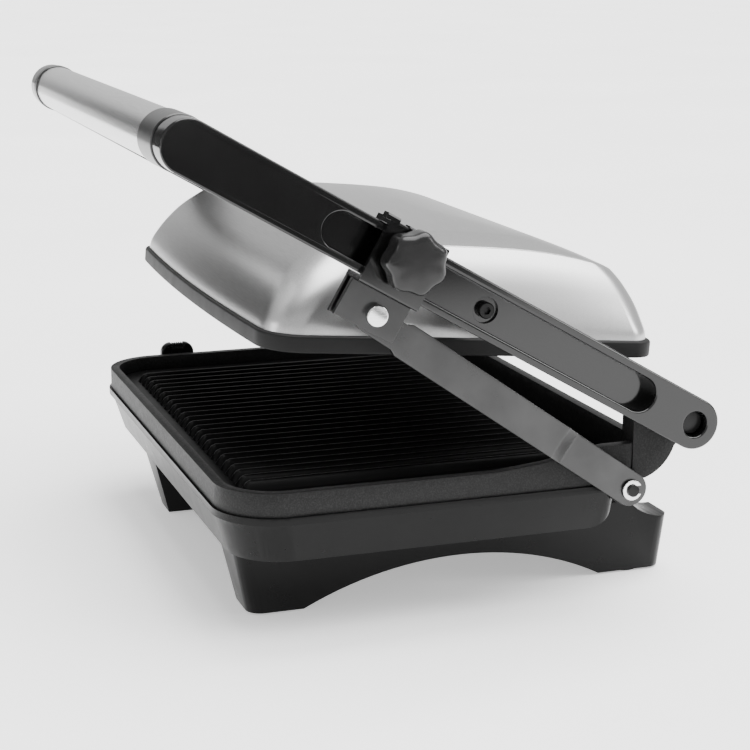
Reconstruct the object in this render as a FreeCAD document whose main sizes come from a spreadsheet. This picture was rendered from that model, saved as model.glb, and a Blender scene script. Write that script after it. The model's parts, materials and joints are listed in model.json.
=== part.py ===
"""Panini press: ribbed lower plate in a cast rim, floating domed lid, two swing arms with a
cross grip, and a sliding height clamp with its support link on the right arm.

Frame: +X to the right, -Y to the front (the handle side), +Z up. The origin is the middle of
the underside of the press's bounding box. The sizes below are measured from a middle plane
between the arms and from the middle of the base, and node() moves each piece by origin_x, origin_y.
Pieces of the arms, lid, clamp and link are built level in a frame of their own, whose origin
is their pivot and whose -Y points along the piece, and are then tilted about X into place.
"""
import FreeCAD, Part
import math
import os
import Sketcher
from FreeCAD import Placement, Rotation, Vector

doc = FreeCAD.newDocument("panini_press")

# driving dimensions, in millimetres and degrees
DIMENSIONS = {
    # how far the middle plane and the base's middle lie from the origin
    "origin_x": 9.5, "origin_y": 4.2,
    # cast rim around the lower plate
    "rim_half": 150, "rim_front": 103, "rim_rear": 110.5, "rim_low": 65.5, "rim_top": 77,
    "rim_rear_top": 85, "rim_wall": 5, "rim_corner": 30, "rim_rear_corner": 16,
    # hinge ears of the rim, and its boss for the link's pin
    "ear_inner": 138, "ear_front": 99, "ear_radius": 12, "arm_pivot_y": 120.6, "arm_pivot_z": 98,
    "boss_start": 146, "boss_radius": 9,
    # satin shell below the rim
    "shell_low": 42, "shell_half_low": 143.5, "shell_front_low": 96.5, "shell_rear": 92, "shell_corner": 13,
    "shell_wall": 9, "shell_floor": 3, "shell_back": 6, "bead_height": 3.5, "bead_out": 1.2,
    # skirt with its four feet
    "skirt_half_low": 100, "skirt_half_top": 110, "skirt_front_low": 81, "skirt_front_top": 91,
    "skirt_rear": 144, "skirt_wall": 4, "skirt_corner": 8, "foot_inner": 75, "foot_depth": 28,
    "foot_lift": 1, "arch_rear": 107, "arch_radius": 165, "scoop_radius": 30, "scoop_low": 31,
    "block_inner": 83, "house_half": 108, "house_rear": 118,
    # rubber feet
    "pad_radius": 7.9, "front_foot_x": 87, "front_foot_y": -67, "rear_foot_x": 91, "rear_foot_y": 125,
    # gland of the supply lead
    "gland_x": -45, "gland_z": 30, "gland_radius": 6.4, "gland_bore": 3.6, "gland_flange": 9,
    # ribbed plates and heaters
    "plate_floor": 69.5, "plate_gap": 0.4, "rib_top": 74.5, "rib_pitch": 9.6, "rib_count": 25,
    "rib_reach": 88, "heater_radius": 3.4, "heater_spread": 45, "heater_reach": 78,
    "upper_heater_reach": 50,
    # parts inside the base
    "reflector_half": 128, "reflector_low": 50, "cover_low": 22, "cover_thick": 2.5, "cover_screw": 3.6,
    "thermostat_radius": 9, "block_screw": 1.6,
    # swing arms
    "arm_angle": 30, "arm_length": 281, "arm_half": 12.3, "arm_inner": 156, "arm_outer": 171.5,
    "slot_floor": 162.5, "slot_half": 8.4, "slot_rear": 26, "slot_front": 212.6,
    "counterbore": 6.2, "lid_pivot": 121.4,
    # pivot bolts, spacers and the screws that carry the lid
    "pivot_bolt": 4, "bolt_head": 5.6, "bolt_head_thick": 4, "bolt_end": 6.6, "spacer_radius": 9,
    "lid_screw": 2.5, "lid_screw_head": 3.8, "lid_screw_socket": 1.9, "head_seat": 1.5,
    # cross grip
    "grip_radius": 12.2, "grip_wall": 1.5, "tenon_radius": 8, "tenon_outer": 168.5, "collar_thick": 0.7,
    "collar_right": 27, "collar_left": 6, "plug_inner": 138,
    # lid
    "lid_angle": 5, "lid_half": 136.5, "lid_front": 99.1, "lid_rear": 104.5, "lid_drop": 26.9,
    "lid_rim_height": 8.3, "lid_rim_wall": 6, "lid_corner": 19, "lid_rear_corner": 11, "lid_bow": 4,
    "lid_sheet": 1.5, "hub_radius": 8, "bracket_x": 106, "bracket_thick": 5, "bracket_half": 12,
    # support link
    "link_pivot_y": 95.1, "link_pivot_z": 64.1, "link_angle": 35.025, "link_length": 165.4,
    "link_half": 8.3, "link_thick": 3, "link_inner": 154, "link_step": 6, "link_bend": 41.5,
    "link_bend_run": 8, "link_eye": 4.8, "link_nose": 6.8, "link_neck": 17,
    # the link's pin and its retaining clip
    "link_pin": 3, "clip_radius": 5, "clip_thick": 1.2, "clip_groove": 2.4, "clip_mouth": 2.1,
    # height clamp and knob
    "clamp_rear": 155.9, "clamp_front": 187.3, "clamp_gap": 0.3, "clamp_wall": 2.8,
    "clevis_low": 33.3, "clevis_outer": 166.6, "clevis_inner": 156.4, "clevis_thick": 3,
    "pin_along": 169.6, "pin_below": 25.2, "pin_shank": 2, "pin_head": 4.9, "knob_along": 171.8,
    "knob_above": 3, "knob_radius": 12.2, "knob_depth": 13, "knob_collar": 2.6, "knob_stud": 3,
    # storage latch on the left side
    "latch_y": -56, "latch_z": 69, "latch_x": -154.6, "latch_half": 10, "latch_wing": 12.5,
    "latch_pin": 1.5, "latch_hub": 2.8, "latch_rise": 14,
    # clearance all round a shaft in its hole
    "running_gap": 0.05,
}
LOBES = 7
# how far a cutting tool reaches past the solid that it cuts
PAST = 9

sheet = doc.addObject("Spreadsheet::Sheet", "Dims")
for row, (alias, number) in enumerate(DIMENSIONS.items(), start=1):
    sheet.set(f"A{row}", alias)
    sheet.set(f"B{row}", str(number))
    sheet.setAlias(f"B{row}", alias)
doc.recompute()


class Size:
    """A length or angle: the expression that ties it to the sheet, and its present value."""

    def __init__(self, text, value):
        self.text, self.value = text, value

    def __add__(self, other):
        other = size(other)
        return Size(f"({self.text} + {other.text})", self.value + other.value)

    def __sub__(self, other):
        other = size(other)
        return Size(f"({self.text} - {other.text})", self.value - other.value)

    def __mul__(self, other):
        other = size(other)
        return Size(f"({self.text} * {other.text})", self.value * other.value)

    def __truediv__(self, other):
        other = size(other)
        return Size(f"({self.text} / {other.text})", self.value / other.value)

    def __radd__(self, other):
        return size(other) + self

    def __rsub__(self, other):
        return size(other) - self

    def __rmul__(self, other):
        return size(other) * self

    def __neg__(self):
        return Size(f"(0 - {self.text})", -self.value)


def size(value):
    return value if isinstance(value, Size) else Size(f"({value})", float(value))


def cosine(angle):
    return Size(f"cos({angle.text} * 1 deg)", math.cos(math.radians(angle.value)))


def sine(angle):
    return Size(f"sin({angle.text} * 1 deg)", math.sin(math.radians(angle.value)))


class Sizes:
    """The named cells of the sheet."""

    def __getattr__(self, alias):
        return Size(f"Dims.{alias}", float(sheet.get(alias)))


D = Sizes()
nodes = []


def tie(obj, prop, value):
    """Bind one property to the sheet."""
    obj.setExpression(prop, size(value).text)


# ------------------------------------------------------------------ building blocks
def box(x0, x1, y0, y1, z0, z1):
    part = doc.addObject("Part::Box", "box")
    for prop, base, low, high in (("Length", "x", x0, x1), ("Width", "y", y0, y1), ("Height", "z", z0, z1)):
        tie(part, prop, size(high) - low)
        tie(part, "Placement.Base." + base, low)
    return part


def cylinder(radius, length, at, axis=None, angle=0):
    part = doc.addObject("Part::Cylinder", "cylinder")
    part.Placement = Placement(Vector(), Rotation(axis, angle) if axis else Rotation())
    tie(part, "Radius", radius)
    tie(part, "Height", length)
    for base, value in zip("xyz", at):
        tie(part, "Placement.Base." + base, value)
    return part


def rod(radius, x0, x1, y=0, z=0):
    """A cylinder along X."""
    return cylinder(radius, size(x1) - x0, (x0, y, z), Vector(0, 1, 0), 90)


def bar(radius, y0, y1, x=0, z=0):
    """A cylinder along Y."""
    return cylinder(radius, size(y1) - y0, (x, y0, z), Vector(1, 0, 0), -90)


def post(radius, x, y, z0, z1):
    """A cylinder along Z."""
    return cylinder(radius, size(z1) - z0, (x, y, z0))


def across(side, x0, x1):
    """The limits x0..x1 on the right side, or their mirror image on the left."""
    return (x0, x1) if side > 0 else (-size(x1), -size(x0))


def fuse(*pieces):
    joined = doc.addObject("Part::MultiFuse", "fuse")
    joined.Shapes = list(pieces)
    joined.Refine = True
    return joined


def cut(base, *tools):
    rest = doc.addObject("Part::Cut", "cut")
    rest.Base = base
    rest.Tool = tools[0] if len(tools) == 1 else fuse(*tools)
    return rest


def common(base, tool):
    both = doc.addObject("Part::Common", "common")
    both.Base, both.Tool = base, tool
    return both


def plane_of(body, role):
    return next(o for o in body.Origin.OriginFeatures if o.Role == role)


def outline(body, role, offset, steps):
    """A closed sketch. A step is (a, b), a corner that a straight line leads to, or
    (a, b, radius), one that an arc leads to: it turns left, or right if the radius is negative."""
    sketch = body.newObject("Sketcher::SketchObject", "outline")
    sketch.AttachmentSupport = [(plane_of(body, role), "")]
    sketch.MapMode = "FlatFace"
    tie(sketch, "AttachmentOffset.Base.z", offset)
    corners = [(size(step[0]), size(step[1])) for step in steps]
    ends = []
    for i, step in enumerate(steps):
        (ax, ay), (bx, by) = corners[i - 1], corners[i]
        start, stop = Vector(ax.value, ay.value, 0), Vector(bx.value, by.value, 0)
        if len(step) == 2:
            edge = sketch.addGeometry(Part.LineSegment(start, stop))
            ends.append((edge, 1, 2))
            continue
        radius = size(step[2])
        left, reach = radius.value > 0, abs(radius.value)
        chord = stop - start
        height = math.sqrt(max(reach ** 2 - (chord.Length / 2) ** 2, 0))
        normal = Vector(-chord.y, chord.x, 0).normalize() * (height if left else -height)
        centre = (start + stop) * 0.5 + normal
        first, last = (start, stop) if left else (stop, start)
        turn = [math.atan2(p.y - centre.y, p.x - centre.x) for p in (first, last)]
        circle = Part.Circle(centre, Vector(0, 0, 1), reach)
        edge = sketch.addGeometry(Part.ArcOfCircle(circle, turn[0], turn[1]))
        ends.append((edge, 1, 2) if left else (edge, 2, 1))
        number = sketch.addConstraint(Sketcher.Constraint("Radius", edge, reach))
        tie(sketch, f"Constraints[{number}]", radius if left else -radius)
    for i, (edge, start, stop) in enumerate(ends):
        after = ends[(i + 1) % len(ends)]
        sketch.addConstraint(Sketcher.Constraint("Coincident", edge, stop, after[0], after[1]))
        for kind, value in zip(("DistanceX", "DistanceY"), corners[i]):
            number = sketch.addConstraint(Sketcher.Constraint(kind, -1, 1, edge, stop, value.value))
            tie(sketch, f"Constraints[{number}]", value)
    return sketch


def padded(role, offset, steps, length):
    """A body with one padded sketch."""
    body = doc.addObject("PartDesign::Body", "body")
    pad = body.newObject("PartDesign::Pad", "pad")
    pad.Profile = outline(body, role, offset, steps)
    tie(pad, "Length", length)
    return body


def plan(half, front, rear, radius, rear_radius=None):
    """Rounded rectangle seen from above, from -front to rear."""
    half, front, rear, radius = (size(v) for v in (half, front, rear, radius))
    back = radius if rear_radius is None else size(rear_radius)
    return [(half - radius, -front), (half, radius - front, radius), (half, rear - back),
            (half - back, rear, back), (back - half, rear), (-half, rear - back, back),
            (-half, radius - front), (radius - half, -front, radius)]


def lid_plan(inset, front_inset=None, rear_inset=None):
    """Outline of the lid drawn in by the insets; its front edge bows forwards."""
    half = D.lid_half - inset
    front = D.lid_front - (inset if front_inset is None else front_inset)
    rear = D.lid_rear - (inset if rear_inset is None else rear_inset)
    radius, back = D.lid_corner - size(inset) * 0.2, D.lid_rear_corner - size(inset) * 0.1
    side = front - D.lid_bow
    straight = half - radius
    sweep = (straight * straight + D.lid_bow * D.lid_bow) / (2 * D.lid_bow)
    return [(straight, -side, sweep), (half, radius - side, radius), (half, rear - back),
            (half - back, rear, back), (back - half, rear), (-half, rear - back, back),
            (-half, radius - side), (-straight, -side, radius)]


def prism(steps, z0, z1):
    return padded("XY_Plane", z0, steps, size(z1) - z0)


def side_block(steps, x0, x1):
    """An outline of (y, z) corners, extruded along X."""
    return padded("YZ_Plane", x0, steps, size(x1) - x0)


def lofted(*levels):
    """A solid through (outline, height) pairs."""
    body = doc.addObject("PartDesign::Body", "body")
    sketches = [outline(body, "XY_Plane", height, steps) for steps, height in levels]
    loft = body.newObject("PartDesign::AdditiveLoft", "loft")
    loft.Profile = sketches[0]
    loft.Sections = sketches[1:]
    loft.Ruled = True
    return body


def node(label, piece, frame=None):
    """Name a finished sub-part and place it, tilted if it has a frame (y, z, tilt).
    A bare box or cylinder is refused: its own placement, which says where it is, would be lost."""
    if piece.TypeId in ("Part::Box", "Part::Cylinder"):
        raise ValueError(f"{label} needs a feature of its own")
    piece.Label = label
    y, z, tilt = frame or (size(0), size(0), None)
    piece.Placement = Placement(Vector(), Rotation(Vector(-1, 0, 0), 1 if tilt else 0))
    tie(piece, "Placement.Base.x", -D.origin_x)
    tie(piece, "Placement.Base.y", y - D.origin_y)
    tie(piece, "Placement.Base.z", z)
    if tilt:
        tie(piece, "Placement.Rotation.Angle", tilt)
    nodes.append(piece)
    return piece


def arm_point(along, above):
    """World (y, z) of a point on the arm: its distance from the pivot and above the centre line."""
    along, above = size(along), size(above)
    c, s = cosine(D.arm_angle), sine(D.arm_angle)
    return D.arm_pivot_y - along * c + above * s, D.arm_pivot_z + along * s + above * c


ARM = (D.arm_pivot_y, D.arm_pivot_z, D.arm_angle)
LID = (*arm_point(D.lid_pivot, 0), D.lid_angle)
LINK = (D.link_pivot_y, D.link_pivot_z, D.link_angle)
SIDES = (("right", 1), ("left", -1))
PIVOT = (D.arm_pivot_y, D.arm_pivot_z)
LINK_PIVOT = (D.link_pivot_y, D.link_pivot_z)

# ================================================================== cast rim and its ears
ring = cut(prism(plan(D.rim_half, D.rim_front, D.rim_rear, D.rim_corner, D.rim_rear_corner),
                 D.rim_low, D.rim_rear_top),
           prism(plan(D.rim_half - D.rim_wall, D.rim_front - D.rim_wall, D.rim_rear - D.rim_wall,
                      D.rim_corner - D.rim_wall, D.rim_rear_corner - D.rim_wall),
                 D.rim_low - PAST, D.rim_rear_top + PAST))
# the front of the ring is lower than its rear, with a smooth rise between them
rise = [(28, D.rim_top), (52, D.rim_top + 2.2), (68, D.rim_top + 5), (76, D.rim_top + 6.9), (84, D.rim_rear_top)]
above_front = side_block([(-D.rim_front - PAST, D.rim_top), *rise, (84, D.rim_rear_top + PAST),
                          (-D.rim_front - PAST, D.rim_rear_top + PAST)],
                         -D.rim_half - PAST, D.rim_half + PAST)
ears = []
for label, side in SIDES:
    ear = side_block([(D.ear_front, D.rim_low + 1), (106, D.rim_low + 1.5), (121.3, 82, 24),
                      (D.arm_pivot_y + D.ear_radius - 0.8, D.arm_pivot_z - 4),
                      (D.arm_pivot_y, D.arm_pivot_z + D.ear_radius - 0.1), (D.ear_front, 101)],
                     *across(side, D.ear_inner, D.rim_half))
    ears += [ear, rod(D.ear_radius, *across(side, D.ear_inner, D.rim_half), *PIVOT)]
boss_end = D.link_inner - 0.6
link_boss = rod(D.boss_radius, D.boss_start, boss_end, *LINK_PIVOT)
bolt_holes = [rod(D.pivot_bolt, *across(side, D.ear_inner - PAST, D.rim_half + PAST), *PIVOT) for _, side in SIDES]
node("lower_rim", cut(fuse(cut(ring, above_front), *ears, link_boss), *bolt_holes,
                      rod(D.link_pin, D.boss_start, boss_end + PAST, *LINK_PIVOT)))

# ================================================================== shell under the rim
bead_low = D.rim_low - D.bead_height
tub = lofted((plan(D.shell_half_low, D.shell_front_low, D.shell_rear, D.rim_corner - 3, D.shell_back), D.shell_low),
             (plan(D.rim_half - 0.4, D.rim_front - 0.4, D.shell_rear, D.rim_corner - 0.4, D.shell_back), bead_low))
bead = prism(plan(D.rim_half + D.bead_out, D.rim_front + D.bead_out, D.shell_rear,
                  D.rim_corner + D.bead_out, D.shell_back), bead_low, D.rim_low)
# seen from the side, the shell's lower rear corner is rounded
side_view = side_block([(-D.rim_front - PAST, D.shell_low), (D.shell_rear - D.shell_corner, D.shell_low),
                        (D.shell_rear, D.shell_low + D.shell_corner, D.shell_corner),
                        (D.shell_rear, D.rim_low), (-D.rim_front - PAST, D.rim_low)],
                       -D.rim_half - PAST, D.rim_half + PAST)
cavity = prism(plan(D.rim_half - D.shell_wall, D.rim_front - D.shell_wall, D.shell_rear - 5,
                    D.rim_corner - D.shell_wall, 4), D.shell_low + D.shell_floor, D.rim_low + PAST)
node("base_shell", cut(common(fuse(tub, bead), side_view), cavity,
                       rod(D.boss_radius + 0.2, 139, D.rim_half + PAST, *LINK_PIVOT)))

# ================================================================== skirt and feet
foot_rear = D.foot_depth - D.skirt_front_low


def skirt_plan(half, front, inset):
    return plan(half - inset, front - inset, D.skirt_rear - inset, D.skirt_corner - size(inset) / 2)


def skirt_block(inset, low, high):
    return lofted((skirt_plan(D.skirt_half_low, D.skirt_front_low, inset), low),
                  (skirt_plan(D.skirt_half_top, D.skirt_front_top, inset), high))


walls = cut(skirt_block(0, D.foot_lift, D.shell_low),
            skirt_block(D.skirt_wall, 0, D.shell_low - D.skirt_wall))
# the four feet are solid: two in front, and two blocks at the rear
corner_zones = [box(*across(side, inner, D.rim_half), y0, y1, -PAST, D.shell_low + PAST) for _, side in SIDES
                for inner, y0, y1 in ((D.foot_inner, -D.rim_half, foot_rear),
                                      (D.block_inner, D.arch_rear, D.skirt_rear + PAST))]
solid_feet = common(skirt_block(0, D.foot_lift, D.shell_low), fuse(*corner_zones))
# the housing behind the shell, which closes the base between the rear blocks
wall = D.skirt_wall
house = cut(box(-D.house_half, D.house_half, D.shell_rear + 0.3, D.house_rear, D.shell_low - 2, D.rim_low - 0.5),
            box(wall - D.house_half, D.house_half - wall, D.shell_rear + 3, D.house_rear - wall,
                D.shell_low - 6, D.rim_low - 3.5))
rear_wall = box(-D.block_inner - 1, D.block_inner + 1, D.house_rear - wall, D.house_rear,
                D.foot_lift + 3, D.shell_low)
arch = side_block([(foot_rear, -PAST), (D.arch_rear, -PAST), (D.arch_rear, D.foot_lift),
                   (foot_rear, D.foot_lift, D.arch_radius)], -D.rim_half, D.rim_half)
scoop_y = D.skirt_rear - 2
scoop = fuse(rod(D.scoop_radius, -D.rim_half, D.rim_half, scoop_y, D.scoop_low + D.scoop_radius),
             box(-D.rim_half, D.rim_half, scoop_y, D.skirt_rear + PAST, D.scoop_low, D.rim_rear_top))
foot_spots = [(side * x, y) for _, side in SIDES
              for x, y in ((D.front_foot_x, D.front_foot_y), (D.rear_foot_x, D.rear_foot_y))]
between_blocks = box(-D.block_inner, D.block_inner, D.house_rear, D.skirt_rear + PAST, -PAST, D.rim_rear_top)
between_feet = box(-D.foot_inner, D.foot_inner, -D.rim_half, foot_rear - 12, -PAST, D.shell_low - 0.5)
gland_hole = bar(D.gland_radius + 0.1, D.house_rear - 13, D.house_rear + 7, D.gland_x, D.gland_z)
pad_holes = [post(D.pad_radius + 0.1, x, y, -PAST, D.foot_lift + 1.6) for x, y in foot_spots]
skirt = fuse(walls, solid_feet, house, rear_wall)
for opening in (arch, scoop, between_blocks, between_feet, gland_hole, *pad_holes):
    skirt = cut(skirt, opening)
node("base_skirt", skirt)
node("rubber_feet", fuse(*[post(D.pad_radius, x, y, 0, D.foot_lift + 1.5) for x, y in foot_spots]))

# ================================================================== lower plate, heater and wiring
# its corners keep clear of the ears
inset = D.rim_wall + D.plate_gap
slab = prism(plan(D.rim_half - inset, D.rim_front - inset, D.rim_rear - inset, D.rim_corner - inset),
             D.rim_low, D.plate_floor)


def ribs(count, base, top, reach):
    """A row of rounded ribs along Y: one padded section repeated across X."""
    body = doc.addObject("PartDesign::Body", "ribs")
    start = -(count - 1) / 2 * D.rib_pitch
    foot, crest, ridge = 3.1, 1.7, 0.6
    up = 1 if top.value > base.value else -1
    shoulder = top - up * 0.9
    corners = [(start - foot, base), (start + foot, base), (start + crest, shoulder),
               (start + ridge, top), (start - ridge, top), (start - crest, shoulder)]
    pad = body.newObject("PartDesign::Pad", "rib")
    pad.Profile = outline(body, "XZ_Plane", -size(reach), corners if up > 0 else corners[::-1])
    tie(pad, "Length", size(reach) * 2)
    row = body.newObject("PartDesign::LinearPattern", "row")
    row.Originals = [pad]
    row.Direction = (plane_of(body, "X_Axis"), [""])
    row.Length = D.rib_pitch.value * (count - 1)
    tie(row, "Length", D.rib_pitch * (count - 1))
    row.Occurrences = count
    body.Tip = row
    return body


rib_count = int(D.rib_count.value)
node("lower_grill_plate", fuse(slab, ribs(rib_count, D.plate_floor - 0.5, D.rib_top, D.rib_reach)))


def element(reach, z):
    """A hairpin heating tube with its two cold ends at the left."""
    turn = doc.addObject("Part::Torus", "turn")
    turn.Angle3 = 180
    turn.Placement = Placement(Vector(), Rotation(Vector(0, 0, 1), -90))
    for prop, value in (("Radius1", D.heater_spread), ("Radius2", D.heater_radius),
                        ("Placement.Base.x", reach), ("Placement.Base.z", z)):
        tie(turn, prop, value)
    return fuse(rod(D.heater_radius, -reach, reach, -D.heater_spread, z),
                rod(D.heater_radius, -reach, reach, D.heater_spread, z), turn)


node("lower_heating_element", element(D.heater_reach, D.rim_low - D.heater_radius))
node("lower_reflector", cut(box(-D.reflector_half, D.reflector_half, -84, 80, D.reflector_low, D.reflector_low + 1),
                            *[post(2, x, 0, D.reflector_low - 2, D.reflector_low + 3) for x in (-110, 110)]))
cover_half = D.skirt_half_low - 8
vents = [box(x - 2, x + 2, -25, 30, D.cover_low - 2, D.cover_low + 4) for x in range(-50, 51, 20)]
node("bottom_cover", cut(box(-cover_half, cover_half, -50, 105, D.cover_low, D.cover_low + D.cover_thick), *vents))
node("thermostat", fuse(post(D.thermostat_radius, 0, 0, 55, D.rim_low), box(-4, 4, -14, 14, 53, 55.5)))
node("terminal_block", cut(box(-70, -40, 60, 76, D.shell_low + D.shell_floor, 49),
                           *[post(D.block_screw, x, 68, 40, 52) for x in (-63, -47)]))
node("cover_screws", fuse(*[post(D.cover_screw, side * 82, y, D.cover_low - 1.8, D.cover_low)
                            for _, side in SIDES for y in (-40, 25, 85)]))
gland = fuse(bar(D.gland_radius, D.house_rear - 8, D.house_rear, D.gland_x, D.gland_z),
             bar(D.gland_flange, D.house_rear, D.house_rear + 4, D.gland_x, D.gland_z))
node("cord_gland", cut(gland, bar(D.gland_bore, D.house_rear - 18, D.house_rear + 12, D.gland_x, D.gland_z)))

# ================================================================== hinge hardware
head_start = D.slot_floor + 0.3
for label, side in SIDES:
    node("arm_pivot_bolt_" + label,
         fuse(rod(D.pivot_bolt, *across(side, D.ear_inner - 2, head_start), *PIVOT),
              rod(D.bolt_head, *across(side, head_start, head_start + D.bolt_head_thick), *PIVOT),
              rod(D.bolt_end, *across(side, D.ear_inner - 5.5, D.ear_inner), *PIVOT)))
    node("arm_spacer_" + label, cut(rod(D.spacer_radius, *across(side, D.rim_half, D.arm_inner - 0.3), *PIVOT),
                                    rod(D.pivot_bolt, *across(side, D.ear_inner, D.arm_outer), *PIVOT)))
clip_start = D.link_inner + D.link_thick + 0.6
clip_end = clip_start + D.clip_thick
neck = rod(D.clip_groove, D.boss_start, clip_end + PAST, *LINK_PIVOT)
groove = cut(rod(D.link_pin + 2, clip_start, clip_end, *LINK_PIVOT), neck)
node("link_pin", cut(rod(D.link_pin, D.boss_start, clip_end + 1.4, *LINK_PIVOT), groove))
mouth = box(clip_start - 1, clip_end + 1, D.link_pivot_y, D.link_pivot_y + D.clip_radius + 3,
            D.link_pivot_z - D.clip_mouth, D.link_pivot_z + D.clip_mouth)
node("link_retaining_clip", cut(rod(D.clip_radius, clip_start, clip_end, *LINK_PIVOT),
                                rod(D.clip_groove, D.boss_start, clip_end + PAST, *LINK_PIVOT), mouth))

# ================================================================== storage latch
LATCH = (D.latch_x, D.latch_z)
latch_end = D.latch_wing + 2
lugs = [box(D.latch_x - 2.5, -D.rim_half, D.latch_y + y - 1.5, D.latch_y + y + 1.5, D.latch_z - 3, D.latch_z + 3)
        for y in (-D.latch_wing, D.latch_wing)]
bore = (D.latch_y - latch_end - PAST, D.latch_y + latch_end + PAST, *LATCH)
node("latch_lugs", cut(fuse(*lugs), bar(D.latch_pin, *bore)))
node("latch_pin", fuse(bar(D.latch_pin, D.latch_y - latch_end, D.latch_y + latch_end, *LATCH),
                       bar(D.latch_pin + 0.9, D.latch_y - latch_end - 1.5, D.latch_y - latch_end, *LATCH)))
tongue = box(D.latch_x - 1.2, D.latch_x + 1.2, D.latch_y - D.latch_half, D.latch_y + D.latch_half,
             D.latch_z, D.latch_z + D.latch_rise)
hub = bar(D.latch_hub, D.latch_y - D.latch_half, D.latch_y + D.latch_half, *LATCH)
node("latch_lever", cut(fuse(hub, tongue), bar(D.latch_pin + D.running_gap, *bore)))

# ================================================================== swing arms and cross grip
beyond = D.arm_outer + PAST
screw_seat = D.slot_floor - D.head_seat
slot_ends = (D.slot_half - D.slot_front, -D.slot_rear - D.slot_half)
for label, side in SIDES:
    bar_x = across(side, D.arm_inner, D.arm_outer)
    bare = fuse(box(*bar_x, -D.arm_length, 0, -D.arm_half, D.arm_half),
                rod(D.arm_half, *bar_x), rod(D.arm_half, *bar_x, -D.arm_length))
    slot = [box(*across(side, D.slot_floor, beyond), *slot_ends, -D.slot_half, D.slot_half),
            *[rod(D.slot_half, *across(side, D.slot_floor, beyond), end) for end in slot_ends]]
    holes = [rod(D.pivot_bolt + D.running_gap, *across(side, D.rim_half, beyond)),
             rod(D.counterbore, *across(side, D.slot_floor, beyond)),
             rod(D.lid_screw, *across(side, D.rim_half, beyond), -D.lid_pivot),
             rod(D.counterbore, *across(side, screw_seat, beyond), -D.lid_pivot),
             rod(D.tenon_radius, *across(side, D.rim_half, D.tenon_outer), -D.arm_length)]
    node("arm_" + label, cut(bare, *slot, *holes), ARM)
    node("lid_pivot_screw_" + label,
         cut(fuse(rod(D.lid_screw, *across(side, D.ear_inner + 2, screw_seat), -D.lid_pivot),
                  rod(D.lid_screw_head, *across(side, screw_seat, screw_seat + 3.4), -D.lid_pivot)),
             rod(D.lid_screw_socket, *across(side, D.slot_floor, beyond), -D.lid_pivot)), ARM)
    node("grip_plug_" + label,
         fuse(rod(D.grip_radius - D.grip_wall, *across(side, D.plug_inner, D.arm_inner), -D.arm_length),
              rod(D.tenon_radius, *across(side, D.arm_inner, D.tenon_outer), -D.arm_length)), ARM)
    collar = D.collar_right if side > 0 else D.collar_left
    node("grip_collar_" + label,
         cut(rod(D.grip_radius + D.collar_thick, *across(side, D.arm_inner - collar, D.arm_inner), -D.arm_length),
             rod(D.grip_radius, *across(side, 120, beyond), -D.arm_length)), ARM)
node("grip_tube", cut(rod(D.grip_radius, -D.arm_inner, D.arm_inner, -D.arm_length),
                      rod(D.grip_radius - D.grip_wall, -beyond, beyond, -D.arm_length)), ARM)

# ================================================================== lid
lid_low = -D.lid_drop
rim_up = lid_low + D.lid_rim_height
# the dome's levels: insets of the sides, front and rear, and the height above the rim
DOME = ((2, 2, 2, 0), (4.5, 6, 3.5, 12.5), (10, 17, 12, 27), (19.5, 34, 34, 40), (43, 62, 65, 44.5))


def dome(inset):
    """The dome as a solid, drawn in by the inset everywhere but at its foot."""
    return lofted(*[(lid_plan(side + inset, front + inset, rear + inset), rim_up + height - (inset if height else 0))
                    for side, front, rear, height in DOME])


def lid_prism(inset, z0, z1):
    return prism(lid_plan(inset), z0, z1)


hub_holes = [rod(D.hub_radius + 0.4, *across(side, 100, D.rim_half)) for _, side in SIDES]
node("lid_shell", cut(dome(size(0)), dome(D.lid_sheet), *hub_holes), LID)
node("lid_rim", cut(lid_prism(0, lid_low, rim_up), lid_prism(D.lid_rim_wall, lid_low - PAST, rim_up + PAST)), LID)
node("upper_grill_plate", fuse(lid_prism(D.lid_rim_wall + 1, lid_low + 3, lid_low + 7),
                               ribs(rib_count - 1, lid_low + 3.5, lid_low - 3.5, D.rib_reach - 8)), LID)
node("upper_heating_element", element(D.upper_heater_reach, lid_low + 7 + D.heater_radius + 0.1), LID)
node("upper_insulation", cut(box(-100, 100, -64, 72, lid_low + 17, lid_low + 19),
                             *[post(3, side * 90, 60, lid_low, 0) for _, side in SIDES]), LID)
node("thermal_fuse", fuse(bar(3, -11, 11, 0, lid_low + 10), box(-3, 3, -7, 7, lid_low + 7, lid_low + 9)), LID)
for label, side in SIDES:
    foot = box(*across(side, D.bracket_x, D.bracket_x + D.bracket_thick), -D.bracket_half, D.bracket_half,
               lid_low + 7, 0)
    node("lid_hinge_bracket_" + label,
         cut(fuse(rod(D.hub_radius, *across(side, D.bracket_x, D.arm_inner - 0.4)), foot),
             rod(D.lid_screw + D.running_gap, *across(side, 100, beyond))), LID)
node("bracket_screws", fuse(*[rod(2.5, *across(side, D.bracket_x - 2, D.bracket_x), y, lid_low + 12)
                              for _, side in SIDES for y in (-8, 8)]), LID)

# ================================================================== support link
near, far = D.link_inner, D.link_inner + D.link_step
bend, bend_end = -D.link_bend, -D.link_bend - D.link_bend_run
tip = -D.link_length - D.link_nose
strip = padded("XY_Plane", -D.link_half,
               [(near, 0), (near, bend), (far, bend_end), (far, tip), (far + D.link_thick, tip),
                (far + D.link_thick, bend_end), (near + D.link_thick, bend), (near + D.link_thick, 0)],
               D.link_half * 2)
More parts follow.
